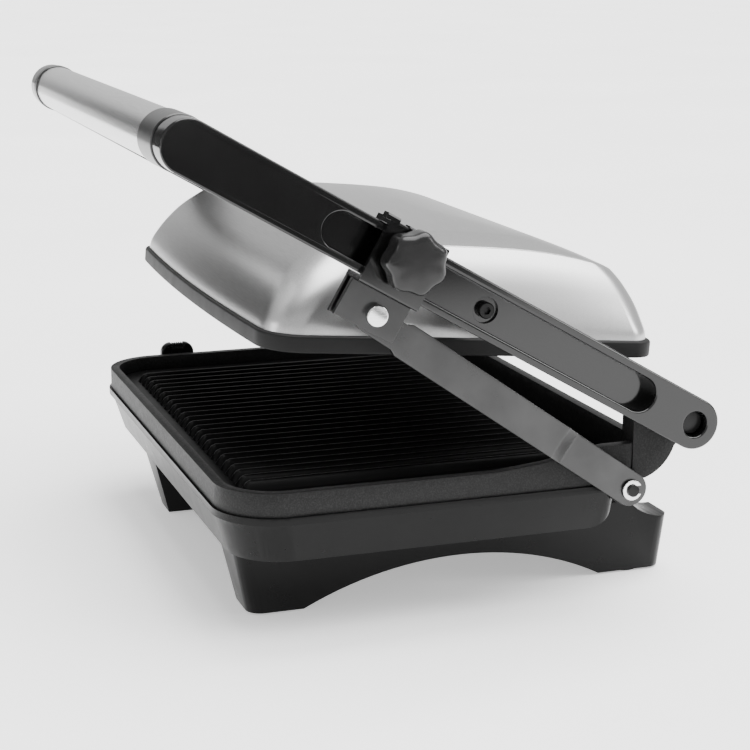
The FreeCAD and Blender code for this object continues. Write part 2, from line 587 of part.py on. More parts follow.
# the nose is narrower than the bar, so that it passes under the clamp's flange
neck, bevel = D.link_neck - D.link_length, 3
silhouette = side_block([(0, D.link_half), (neck + bevel, D.link_half), (neck, D.link_nose),
                         (tip + bevel, D.link_nose), (tip, D.link_nose - bevel), (tip, bevel - D.link_nose),
                         (tip + bevel, -D.link_nose), (neck, -D.link_nose), (neck + bevel, -D.link_half),
                         (0, -D.link_half)], D.rim_half, beyond)
node("support_link", cut(fuse(common(strip, silhouette), rod(D.link_half, near, near + D.link_thick)),
                         rod(D.link_pin + D.running_gap, D.rim_half, beyond),
                         rod(D.link_eye, D.rim_half, beyond, -D.link_length)), LINK)

# ================================================================== height clamp
along = (-D.clamp_front, -D.clamp_rear)
web_in = D.arm_outer + D.clamp_gap
web_out = web_in + D.clamp_wall
lip = D.arm_half + D.clamp_gap
skin = lip + D.clamp_wall
stud_hole = (D.knob_stud + D.running_gap, D.rim_half, web_out + PAST, -D.knob_along, D.knob_above)
saddle = fuse(box(web_in, web_out, *along, -skin, skin), box(D.clevis_inner, web_out, *along, lip, skin),
              box(D.clevis_inner, web_out, *along, -skin, -lip))
node("clamp_saddle", cut(saddle, rod(*stud_hole)), ARM)
pin = (-D.pin_along, -D.pin_below)
plates = [box(x, x + D.clevis_thick, *along, -D.clevis_low, -skin)
          for x in (D.clevis_outer - D.clevis_thick, D.clevis_inner)]
node("clevis_plates", cut(fuse(*plates), rod(D.pin_shank, D.rim_half, beyond, *pin)), ARM)
node("clamp_pin", fuse(rod(D.pin_shank, D.clevis_inner - 1, D.clevis_outer, *pin),
                       rod(D.pin_head, D.clevis_outer, D.clevis_outer + 4, *pin)), ARM)
nut_half = D.slot_half - 0.6
node("clamp_nut", cut(box(D.slot_floor + 0.5, D.arm_outer - 1, -D.knob_along - 9, 9 - D.knob_along,
                          -nut_half, nut_half), rod(*stud_hole)), ARM)

# ================================================================== clamp knob
KNOB = (*arm_point(D.knob_along, D.knob_above), D.arm_angle)
knob = doc.addObject("PartDesign::Body", "knob")


def disc(radius, offset, start, stop):
    """Pad a circle whose centre is off the knob's axis by the offset."""
    sketch = knob.newObject("Sketcher::SketchObject", "disc")
    sketch.AttachmentSupport = [(plane_of(knob, "YZ_Plane"), "")]
    sketch.MapMode = "FlatFace"
    tie(sketch, "AttachmentOffset.Base.z", start)
    circle = sketch.addGeometry(Part.Circle(Vector(size(offset).value, 0, 0), Vector(0, 0, 1), radius.value))
    number = sketch.addConstraint(Sketcher.Constraint("Radius", circle, radius.value))
    tie(sketch, f"Constraints[{number}]", radius)
    pad = knob.newObject("PartDesign::Pad", "disc_pad")
    pad.Profile = sketch
    tie(pad, "Length", size(stop) - start)
    return pad


knob_low = web_out + 0.4 + D.knob_collar
knob_high = knob_low + D.knob_depth
disc(D.knob_radius, 0, knob_low, knob_high)
lobe = disc(D.knob_radius * 0.28, D.knob_radius * 0.9, knob_low, knob_high)
lobes = knob.newObject("PartDesign::PolarPattern", "lobes")
lobes.Originals = [lobe]
lobes.Axis = (plane_of(knob, "X_Axis"), [""])
lobes.Angle = 360
lobes.Occurrences = LOBES
knob.Tip = lobes
doc.recompute()
knob.Tip = disc(D.knob_radius * 0.62, 0, knob_low - D.knob_collar, knob_low)
stud_end = knob_high - 4
node("clamp_knob", cut(knob, rod(D.knob_stud, D.rim_half, stud_end)), KNOB)
node("knob_stud", fuse(rod(D.knob_stud, D.slot_floor + 1, stud_end),
                       rod(D.knob_stud - 0.6, D.slot_floor + 0.4, D.slot_floor + 1)), KNOB)

# ================================================================== check and write
doc.recompute()
for obj in doc.Objects:
    if any(word in obj.State for word in ("Invalid", "Error")):
        raise RuntimeError(f"{obj.Name} ({obj.Label}) failed: {obj.State}")
for piece in nodes:
    if piece.Shape.isNull() or not piece.Shape.isValid():
        raise RuntimeError(f"{piece.Label} has no valid shape")
os.makedirs("parts", exist_ok=True)
for piece in nodes:
    piece.Shape.exportStep(f"parts/{piece.Label}.step")
    print(f"{piece.Label:26s} {piece.Shape.Volume / 1000:9.2f} cm3  solids {len(piece.Shape.Solids)}")
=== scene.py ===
"""Visual model of the panini press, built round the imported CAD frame."""
import bmesh
import bpy
import json
import math
from mathutils import Matrix, Vector


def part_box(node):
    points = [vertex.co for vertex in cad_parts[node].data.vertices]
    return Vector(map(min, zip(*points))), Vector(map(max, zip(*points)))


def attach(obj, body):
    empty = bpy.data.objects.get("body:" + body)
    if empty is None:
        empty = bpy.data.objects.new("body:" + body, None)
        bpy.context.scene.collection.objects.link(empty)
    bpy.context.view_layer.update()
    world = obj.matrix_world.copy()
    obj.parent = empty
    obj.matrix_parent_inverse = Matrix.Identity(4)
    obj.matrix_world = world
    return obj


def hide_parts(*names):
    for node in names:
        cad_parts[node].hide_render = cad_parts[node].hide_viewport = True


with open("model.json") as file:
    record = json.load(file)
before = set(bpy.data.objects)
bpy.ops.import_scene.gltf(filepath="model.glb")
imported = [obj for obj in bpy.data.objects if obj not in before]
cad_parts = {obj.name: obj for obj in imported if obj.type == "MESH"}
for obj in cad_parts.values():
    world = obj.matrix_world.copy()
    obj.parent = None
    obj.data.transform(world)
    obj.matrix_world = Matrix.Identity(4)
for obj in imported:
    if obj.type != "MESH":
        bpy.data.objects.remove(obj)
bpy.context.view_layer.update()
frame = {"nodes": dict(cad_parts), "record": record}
nodes = frame["nodes"]
joints = {joint["name"]: joint for joint in frame["record"]["behaviour"]["joints"]}
MM = 0.001
SIDES = (("right", 1), ("left", -1))

# ------------------------------------------------------------------ places read from the frame
slide = Vector(joints["clamp_slide"]["axis"])
ARM_TILT = math.atan2(slide.z, -slide.y)
LID_TILT = math.radians(5)
arm_pivot = Vector(joints["arm_swing"]["pos_m"])
lid_pivot = Vector(joints["lid_tilt"]["pos_m"])
knob_centre = Vector(joints["knob_turn"]["pos_m"])
# the plane midway between the arms, and the middle of the lower plate's depth
middle_x = (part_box("arm_left")[0][0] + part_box("arm_right")[1][0]) / 2
plate_low, plate_high = (Vector(corner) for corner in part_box("lower_grill_plate"))


def tilted(origin, angle):
    """The local frame of a piece whose front (-Y) end is raised by the angle."""
    return Matrix.Translation((middle_x, origin[1], origin[2])) @ Matrix.Rotation(-angle, 4, "X")


ARM = tilted(arm_pivot, ARM_TILT)
LID = tilted(lid_pivot, LID_TILT)
KNOB = tilted(knob_centre, ARM_TILT)


# ------------------------------------------------------------------ materials
class Nodes:
    """Short forms for building one node tree."""

    def __init__(self, name):
        self.material = bpy.data.materials.new(name)
        self.material.use_nodes = True
        self.tree = self.material.node_tree
        self.shader = self.tree.nodes["Principled BSDF"]
        self.place = self.add("ShaderNodeTexCoord").outputs["Object"]

    def add(self, kind, **inputs):
        node = self.tree.nodes.new(kind)
        for key, value in inputs.items():
            node.inputs[key].default_value = value
        return node

    def link(self, source, target):
        self.tree.links.new(source, target)

    def noise(self, scale, detail=4.0, stretch=(1, 1, 1)):
        mapping = self.add("ShaderNodeMapping", Scale=stretch)
        self.link(self.place, mapping.inputs["Vector"])
        noise = self.add("ShaderNodeTexNoise", Scale=scale, Detail=detail)
        self.link(mapping.outputs["Vector"], noise.inputs["Vector"])
        return noise.outputs["Fac"]

    def colour(self, factor, dark, light, low=0.35, high=0.65):
        ramp = self.add("ShaderNodeValToRGB")
        for stop, position, value in zip(ramp.color_ramp.elements, (low, high), (dark, light)):
            stop.position = position
            stop.color = (*value, 1)
        self.link(factor, ramp.inputs["Fac"])
        self.link(ramp.outputs["Color"], self.shader.inputs["Base Color"])

    def roughness(self, factor, low, high):
        span = self.add("ShaderNodeMapRange")
        span.inputs["To Min"].default_value = low
        span.inputs["To Max"].default_value = high
        self.link(factor, span.inputs["Value"])
        self.link(span.outputs["Result"], self.shader.inputs["Roughness"])

    def bump(self, factor, depth, strength=1.0):
        bump = self.add("ShaderNodeBump", Strength=strength, Distance=depth)
        self.link(factor, bump.inputs["Height"])
        self.link(bump.outputs["Normal"], self.shader.inputs["Normal"])


def shades(grey, spread):
    """A darker and a lighter grey, each a share away from the given one."""
    return (grey * (1 - spread),) * 3, (grey * (1 + spread),) * 3


def satin(name, grey, low=0.32, high=0.45, grain=1600, depth=0.00003, metallic=0.0,
          gloss=0.3):
    """Powder-coated or moulded surface: fine grain, faint mottling."""
    m = Nodes(name)
    m.colour(m.noise(45), *shades(grey, 0.12))
    m.roughness(m.noise(90), low, high)
    m.bump(m.noise(grain, 2), depth, 0.5)
    m.shader.inputs["Metallic"].default_value = metallic
    m.shader.inputs["Specular IOR Level"].default_value = gloss
    return m.material


def speckled(name):
    """Dark cast coating with a coarse grain and pale flecks."""
    m = Nodes(name)
    m.colour(m.noise(1500, 3), (0.003,) * 3, (0.016,) * 3, 0.45, 0.75)
    m.roughness(m.noise(500), 0.4, 0.6)
    m.bump(m.noise(1100, 4), 0.00015, 0.8)
    m.shader.inputs["Specular IOR Level"].default_value = 0.2
    return m.material


def brushed(name, grey, stretch, low=0.26, high=0.4, depth=0.00002):
    """Metal with fine parallel scratches along the axis whose factor in stretch is 1."""
    m = Nodes(name)
    grain = m.noise(60, 6, stretch)
    m.colour(grain, *shades(grey, 0.1), 0.3, 0.7)
    m.roughness(grain, low, high)
    m.bump(grain, depth, 0.35)
    m.shader.inputs["Metallic"].default_value = 1.0
    return m.material


LENGTHWISE = (1, 40, 40)  # scratches along X, as the grip lies
CROSSWISE = (40, 1, 40)
# satin: grey, roughness from and to, grain, depth; brushed: grey, axis, roughness from and to
FINISHES = {
    "cast_rim": speckled("cast_rim"),
    "black_shell": satin("black_shell", 0.003, 0.24, 0.34, gloss=0.13),
    "plate": satin("plate", 0.002, 0.36, 0.46, 2400, 0.00004, gloss=0.09),
    "dome_steel": brushed("dome_steel", 0.47, LENGTHWISE, 0.26, 0.36),
    "lid_band": satin("lid_band", 0.007, 0.45, 0.6, gloss=0.16),
    "arm_black": satin("arm_black", 0.002, 0.1, 0.14, 900, 0.000003, gloss=0.5),
    "grip_steel": brushed("grip_steel", 0.72, LENGTHWISE, 0.18, 0.28),
    "hardware": brushed("hardware", 0.8, CROSSWISE, 0.12, 0.22),
    "dark_hardware": satin("dark_hardware", 0.012, 0.25, 0.35, metallic=0.6),
    "clamp_steel": satin("clamp_steel", 0.055, 0.26, 0.3, 1400, 0.000004, metallic=1.0),
    "knob_black": satin("knob_black", 0.006, 0.2, 0.3, 1100, 0.00002, gloss=0.35),
    "rubber": satin("rubber", 0.012, 0.75, 0.9, 1800, 0.0001),
    "aluminium": brushed("aluminium", 0.75, CROSSWISE, 0.3, 0.42),
    "heater": brushed("heater", 0.18, LENGTHWISE, 0.45, 0.6),
    "insulation": satin("insulation", 0.6, 0.85, 0.95, 500, 0.0004),
    "ceramic": satin("ceramic", 0.62, 0.25, 0.35),
}
slots = {entry["node"]: entry["material_slot"] for entry in frame["record"]["subparts"]}


# ------------------------------------------------------------------ pieces
def reach_across(node):
    """A node's nearest and farthest distance from the middle plane, in millimetres."""
    ends = sorted(abs(corner[0] - middle_x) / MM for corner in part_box(node))
    return tuple(ends)


def body_holding(node):
    bodies = frame["record"]["behaviour"]["bodies"]
    return next(name for name, held in bodies.items() if node in held)


def finish_piece(obj, node):
    """Give a piece its finish and its body, in place of the CAD node it stands for."""
    slot = slots[node]
    obj.data.materials.clear()
    obj.data.materials.append(FINISHES[slot])
    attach(obj, body_holding(node))
    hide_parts(node)
    return obj


def shade_by_angle(mesh, degrees=32):
    """Smooth shading, broken at edges sharper than the angle."""
    mesh.shade_smooth()
    limit = math.radians(degrees)
    work = bmesh.new()
    work.from_mesh(mesh)
    for edge in work.edges:
        if len(edge.link_faces) == 2 and edge.calc_face_angle(0) > limit:
            edge.smooth = False
    work.to_mesh(mesh)
    work.free()


def piece(node, work, matrix=Matrix.Identity(4), smooth=32):
    """Turn a bmesh built in millimetres in a local frame into a finished piece."""
    bmesh.ops.recalc_face_normals(work, faces=work.faces)
    bmesh.ops.scale(work, vec=(MM, MM, MM), verts=work.verts)
    bmesh.ops.transform(work, matrix=matrix, verts=work.verts)
    mesh = bpy.data.meshes.new(node + "_fine")
    work.to_mesh(mesh)
    work.free()
    shade_by_angle(mesh, smooth)
    obj = bpy.data.objects.new(node + "_fine", mesh)
    bpy.context.scene.collection.objects.link(obj)
    # broad flat faces keep their own direction beside the small faces that round their edges
    flat = obj.modifiers.new("flat", "WEIGHTED_NORMAL")
    flat.keep_sharp, flat.weight = True, 90
    return finish_piece(obj, node)


def softened(node, width=0.6, segments=3, angle=28):
    """The node's own form with its edges rounded off, as a new piece."""
    mesh = nodes[node].data.copy()
    work = bmesh.new()
    work.from_mesh(mesh)
    bmesh.ops.remove_doubles(work, verts=work.verts, dist=1e-6)
    bmesh.ops.dissolve_limit(work, angle_limit=math.radians(0.6), verts=work.verts, edges=work.edges)
    work.to_mesh(mesh)
    work.free()
    obj = bpy.data.objects.new(node + "_fine", mesh)
    bpy.context.scene.collection.objects.link(obj)
    bevel = obj.modifiers.new("edges", "BEVEL")
    bevel.width = width * MM
    bevel.segments = segments
    bevel.limit_method = "ANGLE"
    bevel.angle_limit = math.radians(angle)
    bevel.use_clamp_overlap = True
    bevel.harden_normals = True
    mesh.shade_smooth()
    return finish_piece(obj, node)


def loft(work, rings, closed_ends=True):
    """Skin a list of rings that have the same number of points."""
    rows = [[work.verts.new(point) for point in ring] for ring in rings]
    for low, high in zip(rows, rows[1:]):
        for i in range(len(low)):
            j = (i + 1) % len(low)
            work.faces.new((low[i], low[j], high[j], high[i]))
    if closed_ends:
        work.faces.new(rows[0][::-1])
        work.faces.new(rows[-1])
    return rows


def lathe(work, profile, y=0, z=0, steps=64, side=1):
    """Turn a list of (x, radius) points about a line along X."""
    rings = []
    for x, radius in profile:
        rings.append([(side * x, y + radius * math.cos(a), z + radius * math.sin(a))
                      for a in (2 * math.pi * k / steps for k in range(steps))])
    loft(work, rings)


def rounded_plan(half, front, rear, radius, z, bow=0.0, rear_radius=None, arc=12, run=14):
    """Points round a rounded rectangle; the front edge may bow forwards."""
    back = radius if rear_radius is None else rear_radius
    side = front - bow
    corners = [(half - radius, -side + radius, radius, -90), (half - back, rear - back, back, 0),
               (-half + back, rear - back, back, 90), (-half + radius, -side + radius, radius, 180)]
    points = []
    for x, y, r, start in corners:
        for k in range(arc + 1):
            a = math.radians(start + 90 * k / arc)
            points.append((x + r * math.cos(a), y + r * math.sin(a)))
    spread = []
    for i, (x, y) in enumerate(points):
        spread.append((x, y, z))
        nx, ny = points[(i + 1) % len(points)]
        if (i + 1) % (arc + 1) == 0:
            for k in range(1, run):
                t = k / run
                px, py = x + (nx - x) * t, y + (ny - y) * t
                if i == len(points) - 1:
                    py -= bow * (1 - (2 * t - 1) ** 2)
                spread.append((px, py, z))
    return spread


# ------------------------------------------------------------------ ribbed plates
RIB_PITCH, RIB_COUNT, PLATE_CORNER = 9.6, 25, 24.6
LOWER_RIB_HEIGHT, LOWER_RIB_REACH, UPPER_RIB_REACH = 5, 92, 80


def rib(work, x, reach, base, top, foot=3.2, steps=10):
    """One rounded rib along Y whose ends slope down to the plate."""
    rise = top - base
    stations = [(-reach, 0.02), (-reach + 1.4, 0.5), (-reach + 3, 0.86), (-reach + 5, 1.0)]
    stations += [(-y, k) for y, k in reversed(stations)]
    rings = []
    for y, k in stations:
        ring = []
        for i in range(steps + 1):
            t = -1 + 2 * i / steps
            ring.append((x + foot * t, y, base + rise * k * (1 - abs(t) ** 2.6)))
        rings.append(ring)
    loft(work, rings)


def grill_plate(node, outline, low, floor, tip, count, reach, matrix=Matrix.Identity(4)):
    """A slab with softened rims and a row of ribs on its cooking face."""
    work = bmesh.new()
    up = 1 if tip > floor else -1
    section = ((1, low), (0, low + up), (0, floor - up), (0.8, floor - 0.2 * up), (1.6, floor))
    loft(work, [outline(inset, z) for inset, z in section])
    for i in range(count):
        rib(work, (i - (count - 1) / 2) * RIB_PITCH, reach, floor - 0.4 * up, tip)
    return piece(node, work, matrix, smooth=50)


plate_half = (plate_high.x - plate_low.x) / 2 / MM
plate_reach = (plate_high.y - plate_low.y) / 2 / MM
plate_centre = Matrix.Translation(((plate_high.x + plate_low.x) / 2, (plate_high.y + plate_low.y) / 2, 0))


def lower_outline(inset, z):
    reach = plate_reach - inset
    return rounded_plan(plate_half - inset, reach, reach, PLATE_CORNER - inset, z)


rib_top = plate_high.z / MM
grill_plate("lower_grill_plate", lower_outline, plate_low.z / MM, rib_top - LOWER_RIB_HEIGHT, rib_top,
            RIB_COUNT, LOWER_RIB_REACH, plate_centre)

# ------------------------------------------------------------------ lid, in its own frame
LID_HALF, LID_FRONT, LID_REAR = 136.5, 99.1, 104.5
LID_CORNER, LID_BACK_CORNER, LID_BOW = 19, 11, 4
LID_LOW = -26.9
RIM_UP = LID_LOW + 8.3
# the upper plate, which faces down: its inset from the lid's plan, its back, floor and rib tips
UPPER_INSET, UPPER_BACK, UPPER_FLOOR, UPPER_TIP = 7, LID_LOW + 7, LID_LOW + 3, LID_LOW - 3.5


def lid_outline(inset, z, front=None, rear=None, corner=0.0):
    """Plan of the lid drawn in by an inset; the corners may open out as the dome rises."""
    return rounded_plan(LID_HALF - inset, LID_FRONT - (inset if front is None else front),
                        LID_REAR - (inset if rear is None else rear), LID_CORNER + corner, z, LID_BOW,
                        LID_BACK_CORNER + corner)


def smooth_between(levels, parts):
    """A Catmull-Rom run through rows of numbers."""
    out = []
    for i in range(len(levels) - 1):
        p0, p1, p2 = levels[max(i - 1, 0)], levels[i], levels[i + 1]
        p3 = levels[min(i + 2, len(levels) - 1)]
        for k in range(parts):
            t = k / parts
            out.append([0.5 * (2 * b + (c - a) * t + (2 * a - 5 * b + 4 * c - d) * t ** 2
                               + (3 * b - a - 3 * c + d) * t ** 3)
                        for a, b, c, d in zip(p0, p1, p2, p3)])
    return out + [levels[-1]]


# each row: inset of the sides, front and rear, opening of the corners, height above the rim
DOME = [(2, 2, 2, 0, 0), (2.5, 3, 2.3, 0, 5.2), (4.5, 6.5, 3.6, 1, 12.6), (7.2, 11.5, 5.2, 2, 20.4),
        (10.2, 17.5, 7.6, 3, 27.6), (14, 25.5, 11, 4, 34.7), (17.9, 31.5, 14.6, 5, 39.6),
        (19.4, 34.5, 17, 5, 40.7), (21.2, 38, 21, 5, 41.3), (29.6, 50, 34, 6, 43.1),
        (42.8, 62, 48, 8, 45)]
DOME_TOP, DOME_PARTS, REAR_FALL = DOME[-1][-1], 5, 17
# the rings that close the top: share of the last row's size, and rise above it
CROWN = ((0.8, 0.5), (0.55, 0.95), (0.3, 1.2), (0.1, 1.3))


def settled(ring, height):
    """The higher a ring is, the more it falls away towards the rear."""
    share = height / DOME_TOP
    return [(x, y, z - REAR_FALL * share * max(y / LID_REAR, 0) ** 3) for x, y, z in ring]


def dome():
    """The lid's shell, skinned through its rows and closed by the crown."""
    work = bmesh.new()
    rings = [settled(lid_outline(side, RIM_UP + height, front, rear, corner), height)
             for side, front, rear, corner, height in smooth_between(DOME, DOME_PARTS)]
    last = rings[-1]
    middle = Vector((0, sum(point[1] for point in last) / len(last), 0))
    for share, rise in CROWN:
        rings.append([(x * share, middle.y + (y - middle.y) * share,
                       RIM_UP + DOME_TOP + rise + (z - RIM_UP - DOME_TOP) * share ** 2)
                      for x, y, z in last])
    loft(work, rings)
    return piece("lid_shell", work, LID, smooth=60)


def band():
    """Rim of the lid: a ring whose section has rounded edges."""
    work = bmesh.new()
    section = [(6, LID_LOW + 1), (5, LID_LOW), (1, LID_LOW), (0.3, LID_LOW + 0.3), (0, LID_LOW + 1),
               (0, RIM_UP - 1.2), (0.4, RIM_UP - 0.4), (1.2, RIM_UP), (6, RIM_UP)]
    rings = [lid_outline(inset, z) for inset, z in section]
    rows = loft(work, rings, closed_ends=False)
    for i in range(len(rows[0])):
        j = (i + 1) % len(rows[0])
        work.faces.new((rows[-1][i], rows[-1][j], rows[0][j], rows[0][i]))
    return piece("lid_rim", work, LID, smooth=40)


dome()
band()
grill_plate("upper_grill_plate", lambda inset, z: lid_outline(UPPER_INSET + inset, z),
            UPPER_BACK, UPPER_FLOOR, UPPER_TIP, RIB_COUNT - 1, UPPER_RIB_REACH, LID)

# ------------------------------------------------------------------ grip
ARM_LENGTH, ARM_INNER, GRIP = 281, 156, 12.2


def along_the_grip(node, profile, side=1):
    """A piece turned about the grip's axis."""
    work = bmesh.new()
    lathe(work, profile, -ARM_LENGTH, side=side)
    return piece(node, work, ARM)


along_the_grip("grip_tube", [(-ARM_INNER, GRIP - 0.6), (0.6 - ARM_INNER, GRIP),
                             (ARM_INNER - 0.6, GRIP), (ARM_INNER, GRIP - 0.6)])
for label, side in SIDES:
    low, high = reach_across("grip_collar_" + label)
    inner, outer = GRIP - 0.2, GRIP + 0.7
    along_the_grip("grip_collar_" + label, [(low, inner), (low, outer - 0.4), (low + 0.4, outer),
                                            (high - 0.5, outer), (high, outer - 0.5), (high, inner)], side)


# ------------------------------------------------------------------ swing arms
ARM_HALF, ARM_OUTER, SLOT_FLOOR, SLOT_HALF = 12.3, 171.5, 162.5, 8.4
SLOT_REAR, SLOT_FRONT, LID_PIVOT, COUNTERBORE = 26, 212.6, 121.4, 6.2


def half_circle(centre, radius, start, steps=24):
    """Points of a half turn in the local YZ plane, from an angle in degrees."""
    return [(centre + radius * math.cos(a), radius * math.sin(a))
            for a in (math.radians(start + 180 * k / steps) for k in range(steps + 1))]


def stadium(front, rear, radius):
    """Points of a bar with round ends, from the front centre to the rear centre along local Y."""
    return half_circle(rear, radius, -90) + half_circle(front, radius, 90)


def circle(centre, radius, steps=40):
    return [(centre + radius * math.cos(a), radius * math.sin(a))
            for a in (2 * math.pi * k / steps for k in range(steps))]


def plate(outline, holes, low, high, rounding):
    """A flat layer between two distances from the middle plane, with rounded edges and holes."""
    curve = bpy.data.curves.new("layer", "CURVE")
    curve.dimensions, curve.fill_mode = "2D", "BOTH"
    for points in [outline] + [hole[::-1] for hole in holes]:
        spline = curve.splines.new("POLY")
        spline.points.add(len(points) - 1)
        for target, (y, z) in zip(spline.points, points):
            target.co = (y, z, 0, 1)
        spline.use_cyclic_u = True
    curve.extrude = (high - low) / 2 - rounding
    curve.bevel_depth, curve.bevel_resolution, curve.offset = rounding, 2, -rounding
    holder = bpy.data.objects.new("layer", curve)
    bpy.context.scene.collection.objects.link(holder)
    mesh = bpy.data.meshes.new_from_object(holder.evaluated_get(bpy.context.evaluated_depsgraph_get()))
    bpy.data.objects.remove(holder)
    # the curve's plane becomes YZ, and its thickness runs along X
    mesh.transform(Matrix(((0, 0, 1, (low + high) / 2), (1, 0, 0, 0), (0, 1, 0, 0), (0, 0, 0, 1))))
    return mesh


def gather(layers, side=1):
    """Several plates in one bmesh, mirrored for the left side."""
    work = bmesh.new()
    for layer in layers:
        work.from_mesh(plate(*layer))
    bmesh.ops.remove_doubles(work, verts=work.verts, dist=1e-4)
    bmesh.ops.scale(work, vec=(side, 1, 1), verts=work.verts)
    return work


def arm(label, side):
    """A bar with a slot: the slot's floor and the seats of the bolt and screw are set in from within."""
    slot_ends = (SLOT_HALF - SLOT_FRONT, -SLOT_REAR - SLOT_HALF)
    slot, slot_floor = stadium(*slot_ends, SLOT_HALF), stadium(*slot_ends, SLOT_HALF + 0.5)
    bolt_seat, screw_seat = circle(0, COUNTERBORE + 0.4), circle(-LID_PIVOT, COUNTERBORE + 0.4)
    inlay, edge = ARM_INNER + 0.2, 0.1
    layers = [(stadium(-ARM_LENGTH, 0, ARM_HALF), [slot, circle(0, COUNTERBORE)], ARM_INNER, ARM_OUTER, 0.9),
              (slot_floor, [circle(-LID_PIVOT, COUNTERBORE)], inlay, SLOT_FLOOR, edge),
              (screw_seat, [], inlay, SLOT_FLOOR - 1.5, edge),
              (bolt_seat, [], inlay, SLOT_FLOOR, edge),
              # a skin just proud of the inner face, so that the layers behind it don't show
              (stadium(-ARM_LENGTH, 0, ARM_HALF - 1), [], ARM_INNER - 0.15, ARM_INNER + 0.5, edge)]
    return piece("arm_" + label, gather(layers, side), ARM, smooth=40)


for label, side in SIDES:
    arm(label, side)

# ------------------------------------------------------------------ support link
LINK_LENGTH, LINK_HALF, LINK_NOSE, LINK_NECK = 165.4, 8.3, 6.8, 17
LINK_INNER, LINK_STEP, LINK_THICK, BEND, BEND_RUN = 154, 6, 3, 41, 9
LINK_BORE, LINK_EYE, LINK_TILT = 3.05, 4.8, math.radians(35.025)
LINK = tilted(joints["link_swing"]["pos_m"], LINK_TILT)


def support_link():
    """A flat bar with an eye at each end, set over sideways by a smooth joggle."""
    neck = LINK_NECK - LINK_LENGTH
    outline = [*half_circle(0, LINK_HALF, -90), (neck + 3, LINK_HALF), (neck, LINK_NOSE),
               *half_circle(-LINK_LENGTH, LINK_NOSE, 90), (neck, -LINK_NOSE), (neck + 3, -LINK_HALF)]
    holes = [circle(0, LINK_BORE), circle(-LINK_LENGTH, LINK_EYE)]
    work = gather([(outline, holes, LINK_INNER, LINK_INNER + LINK_THICK, 0.4)])
    # cuts across the joggle, so that the bar can bend there
    for t in (-0.1, 0, 0.08, 0.92, 1, 1.1):
        bmesh.ops.bisect_plane(work, geom=[*work.verts, *work.edges, *work.faces],
                               plane_co=(0, -BEND - BEND_RUN * t, 0), plane_no=(0, 1, 0))
    for vert in work.verts:
        vert.co.x += LINK_STEP * min(max((-vert.co.y - BEND) / BEND_RUN, 0), 1)
    return piece("support_link", work, LINK, smooth=40)


support_link()

# ------------------------------------------------------------------ height clamp
CLAMP_REAR, CLAMP_FRONT, CLAMP_SKIN, CLAMP_WALL = -155.9, -187.3, 15.4, 2.8
CLEVIS_LOW, CLEVIS_THICK = -33.3, 3
# each lug on the saddle's upper edge: its front and rear past the saddle's front, and its height
SADDLE_LUGS = ((-2.4, 4.2, 1.6), (9.5, 14, 0.8))


def clevis():
    """Two flat cheeks that hang under the saddle, one on each side of the link."""
    low, high = reach_across("clevis_plates")
    cheek = [(CLAMP_FRONT, CLEVIS_LOW), (CLAMP_REAR, CLEVIS_LOW),
             (CLAMP_REAR, -CLAMP_SKIN), (CLAMP_FRONT, -CLAMP_SKIN)]
    layers = [(cheek, [], x, x + CLEVIS_THICK, 0.35) for x in (low, high - CLEVIS_THICK)]
    return piece("clevis_plates", gather(layers), ARM, smooth=40)


def saddle():
    """A channel folded round the arm, with two short lugs on its upper edge."""
    low, high = reach_across("clamp_saddle")
    rear, front, skin, wall = CLAMP_REAR, CLAMP_FRONT, CLAMP_SKIN, CLAMP_WALL
    lip = skin - wall
    channel = [(low, lip), (high - wall, lip), (high - wall, -lip), (low, -lip), (low, -skin),
               (high - 1.2, -skin), (high - 0.35, 0.35 - skin), (high, 1.2 - skin), (high, skin - 1.2),
               (high - 0.35, skin - 0.35), (high - 1.2, skin), (low, skin)]
    work = bmesh.new()
    loft(work, [[(x, y, z) for x, z in channel] for y in (front, rear)])
    for start, end, height in SADDLE_LUGS:
        top = skin + height
        lug = [(high - 6, skin - 1), (high + 0.3, skin - 1), (high + 0.3, top - 0.8),
               (high - 0.5, top), (high - 6, top)]
        loft(work, [[(x, y, z) for x, z in lug] for y in (front + start, front + end)])
    return piece("clamp_saddle", work, ARM, smooth=30)


clevis()
saddle()

# ------------------------------------------------------------------ storage latch
def latch():
    """A finger piece with a rounded, ribbed top."""
    low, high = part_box("latch_lever")
    middle_y, base = (low[1] + high[1]) / 2 / MM, low[2] / MM
    half, height = (high[1] - low[1]) / 2 / MM, (high[2] - low[2]) / MM
    corner, ripple, rounding = 6, 0.7, 1.2
    arc = [math.radians(90 * k / 10) for k in range(11)]
    right = [(half - corner + corner * math.cos(a), height - corner + corner * math.sin(a)) for a in arc]
    crest = [(half - corner - (half - corner) * 2 * k / 24,
              height - ripple + ripple * math.cos(math.pi * k / 2)) for k in range(1, 24)]
    left = [(corner - half - corner * math.sin(a), height - corner + corner * math.cos(a)) for a in arc]
    outline = [(half, 0.8), *right, *crest, *left, (-half, 0.8)]
    work = bmesh.new()
    work.from_mesh(plate([(middle_y + y, base + z) for y, z in outline], [],
                         low[0] / MM, high[0] / MM, rounding))
    return piece("latch_lever", work, smooth=50)


latch()

# ------------------------------------------------------------------ knob
KNOB_RADIUS, KNOB_WAVE, KNOB_LOBES, KNOB_STEPS = 13.6, 0.75, 7, 168


